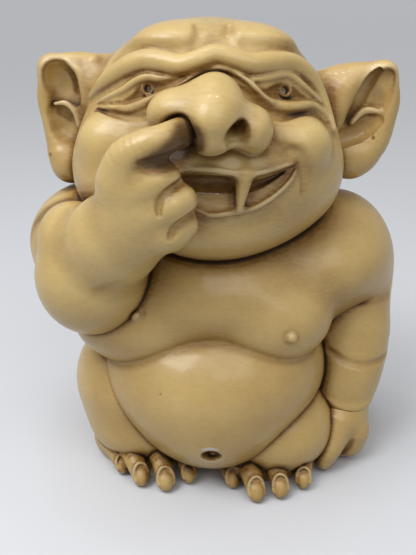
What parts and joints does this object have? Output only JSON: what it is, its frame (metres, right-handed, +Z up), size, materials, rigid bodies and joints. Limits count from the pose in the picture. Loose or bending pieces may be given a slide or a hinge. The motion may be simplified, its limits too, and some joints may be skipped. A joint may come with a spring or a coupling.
{
  "type": "ogre figurine",
  "caption": "Squat cast ogre ornament with big cupped ears and a round belly, one arm hanging and one finger up its nose; bonded castings over dowels on a flat base.",
  "frame": {"origin": "Middle of the base felt's underside, on the table", "axes": "+Z up, the figure faces -Y, its own left is +X"},
  "size_m": [0.256, 0.215, 0.2994],
  "materials": {
    "painted_casting": "cast body painted ivory tan, with a dark brown antique wash left in the creases and a semi-gloss seal",
    "beech": "plain turned wood, hidden",
    "hardboard": "plain pressed board, hidden",
    "felt": "pressed felt"
  },
  "bodies": {
    "root": {"torso_casting": "painted_casting", "head_casting": "painted_casting", "left_ear_casting": "painted_casting", "right_ear_casting": "painted_casting", "left_arm_casting": "painted_casting", "left_hand_casting": "painted_casting", "right_arm_casting": "painted_casting", "right_hand_casting": "painted_casting", "left_leg_casting": "painted_casting", "right_leg_casting": "painted_casting", "left_foot_casting": "painted_casting", "right_foot_casting": "painted_casting", "neck_dowel": "beech", "left_shoulder_dowel": "beech", "right_shoulder_dowel": "beech", "left_hip_peg": "beech", "right_hip_peg": "beech", "left_wrist_pin": "beech", "right_wrist_pin": "beech", "left_ankle_pin": "beech", "right_ankle_pin": "beech", "left_ear_upper_pin": "beech", "left_ear_lower_pin": "beech", "right_ear_upper_pin": "beech", "right_ear_lower_pin": "beech", "base_plate": "hardboard", "base_felt": "felt"}
  },
  "joints": []
}
